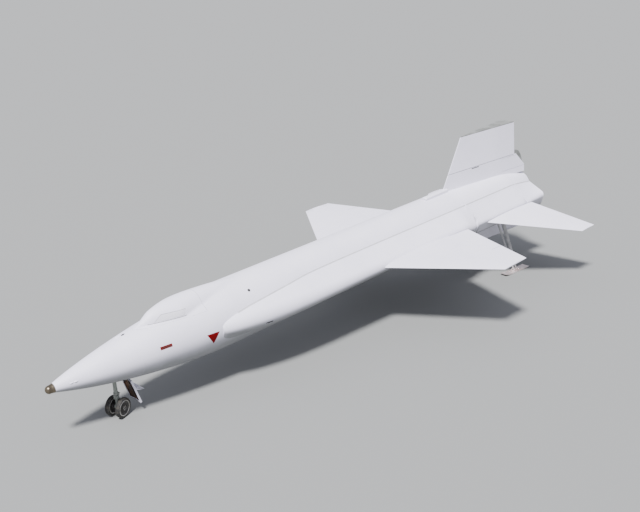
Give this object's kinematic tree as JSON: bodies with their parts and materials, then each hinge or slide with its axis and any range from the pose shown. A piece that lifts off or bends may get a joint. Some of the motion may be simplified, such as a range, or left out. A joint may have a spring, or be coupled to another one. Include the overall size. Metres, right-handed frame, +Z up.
{
  "type": "rocket research aircraft",
  "caption": "Long white rocket-powered research aircraft with wedge fins, stubby wings and drooping tailplanes, parked on twin nose wheels and tail skids.",
  "frame": {"origin": "on the ground, under the middle of the aircraft's length and on its plane of symmetry", "axes": "+X aft along the ground, +Y to starboard, +Z up; the airframe sits 3.4 degrees nose down"},
  "size_m": [15.7982, 6.82, 4.1968],
  "materials": {
    "white_paint": "satin white sealing coat over primer",
    "ball_bronze": "dark heat-tinted metal",
    "grey_paint": "grey-green enamel",
    "brown_primer": "dull brown primer",
    "skid_steel": "scuffed bare alloy",
    "tyre_rubber": "dull black rubber",
    "nickel_alloy": "heat-dulled nickel alloy",
    "seat_webbing": "olive cloth",
    "cockpit_black": "matt black paint"
  },
  "bodies": {
    "airframe": {"nose_ball": "ball_bronze", "nose_section": "white_paint", "cockpit_section": "white_paint", "oxidiser_tank_section": "white_paint", "fuel_tank_section": "white_paint", "engine_section": "white_paint", "canopy_fairing": "white_paint", "side_fairing_front_left": "white_paint", "side_fairing_mid_left": "white_paint", "side_fairing_rear_left": "white_paint", "side_fairing_front_right": "white_paint", "side_fairing_mid_right": "white_paint", "side_fairing_rear_right": "white_paint", "wing_left": "white_paint", "wing_right": "white_paint", "fin_fixed": "white_paint", "ventral_fin": "white_paint", "fin_tail_core": "grey_paint", "fin_ridge": "white_paint", "engine_block": "nickel_alloy", "nozzle": "nickel_alloy", "seat": "seat_webbing", "instrument_panel": "cockpit_black", "side_console_left": "cockpit_black", "side_console_right": "cockpit_black", "control_stick": "cockpit_black", "nose_leg": "grey_paint", "nose_gear_door": "brown_primer", "nose_door_scoop": "white_paint", "skid_left": "skid_steel", "skid_strut_left": "grey_paint", "skid_brace_left": "grey_paint", "skid_right": "skid_steel", "skid_strut_right": "grey_paint", "skid_brace_right": "grey_paint"},
    "nose_fork": {"nose_fork": "grey_paint"},
    "nose_wheels": {"nose_wheel_rims": "skid_steel", "nose_tyre_left": "tyre_rubber", "nose_tyre_right": "tyre_rubber"},
    "stabiliser_left": {"stabiliser_left": "white_paint"},
    "stabiliser_right": {"stabiliser_right": "white_paint"},
    "rudder": {"rudder": "white_paint"},
    "flap_left": {"flap_left": "white_paint"},
    "flap_right": {"flap_right": "white_paint"},
    "canopy": {"canopy": "white_paint", "window_cover_left": "white_paint", "window_cover_right": "white_paint"},
    "speed_brake_upper_left": {"speed_brake_upper_left": "white_paint"},
    "speed_brake_upper_right": {"speed_brake_upper_right": "white_paint"},
    "speed_brake_lower_left": {"speed_brake_lower_left": "white_paint"},
    "speed_brake_lower_right": {"speed_brake_lower_right": "white_paint"}
  },
  "joints": [
    {"name": "nose_caster", "type": "hinge", "parent": "airframe", "child": "nose_fork", "pos_m": [-6.41465, 0, 0.50746], "axis": [-0.059, 0, 0.9983], "range_deg": [-71, 29]},
    {"name": "nose_wheel_spin", "type": "hinge", "parent": "nose_fork", "child": "nose_wheels", "pos_m": [-6.39726, 0, 0.213], "axis": [-0.3584, 0.9336, 0], "continuous": true},
    {"name": "stabiliser_left_pitch", "type": "hinge", "parent": "airframe", "child": "stabiliser_left", "pos_m": [5.48305, -0.96593, 1.8304], "axis": [-0.0153, 0.9659, 0.2584], "range_deg": [-35, 15]},
    {"name": "stabiliser_right_pitch", "type": "hinge", "parent": "airframe", "child": "stabiliser_right", "pos_m": [5.48305, 0.96593, 1.8304], "axis": [0.0153, 0.9659, -0.2584], "range_deg": [-35, 15]},
    {"name": "rudder_turn", "type": "hinge", "parent": "airframe", "child": "rudder", "pos_m": [5.90625, 0, 3.14546], "axis": [-0.059, 0, 0.9983], "range_deg": [-7.5, 7.5]},
    {"name": "flap_left_droop", "type": "hinge", "parent": "airframe", "child": "flap_left", "pos_m": [3.07951, -1.8, 1.8195], "axis": [0, 1, 0], "range_deg": [0, 40]},
    {"name": "flap_right_droop", "type": "hinge", "parent": "airframe", "child": "flap_right", "pos_m": [3.07951, 1.8, 1.8195], "axis": [0, 1, 0], "range_deg": [0, 40]},
    {"name": "canopy_lift", "type": "hinge", "parent": "airframe", "child": "canopy", "pos_m": [-4.40317, 0, 2.18697], "axis": [0, 1, 0], "range_deg": [0, 45]},
    {"name": "speed_brake_upper_left_open", "type": "hinge", "parent": "airframe", "child": "speed_brake_upper_left", "pos_m": [6.71917, -0.23224, 2.78076], "axis": [0.0589, -0.0504, -0.997], "range_deg": [0, 35]},
    {"name": "speed_brake_upper_right_open", "type": "hinge", "parent": "airframe", "child": "speed_brake_upper_right", "pos_m": [6.71917, 0.23224, 2.78076], "axis": [-0.0589, -0.0504, 0.997], "range_deg": [0, 35]},
    {"name": "speed_brake_lower_left_open", "type": "hinge", "parent": "airframe", "child": "speed_brake_lower_left", "pos_m": [6.80702, -0.23224, 1.29335], "axis": [0.0589, 0.0504, -0.997], "range_deg": [0, 35]},
    {"name": "speed_brake_lower_right_open", "type": "hinge", "parent": "airframe", "child": "speed_brake_lower_right", "pos_m": [6.80702, 0.23224, 1.29335], "axis": [-0.0589, 0.0504, 0.997], "range_deg": [0, 35]}
  ],
  "couplings": [
    {"joint": "flap_right_droop", "follows": "flap_left_droop", "ratio": 1},
    {"joint": "speed_brake_upper_right_open", "follows": "speed_brake_upper_left_open", "ratio": 1},
    {"joint": "speed_brake_lower_left_open", "follows": "speed_brake_upper_left_open", "ratio": 1},
    {"joint": "speed_brake_lower_right_open", "follows": "speed_brake_upper_left_open", "ratio": 1}
  ]
}
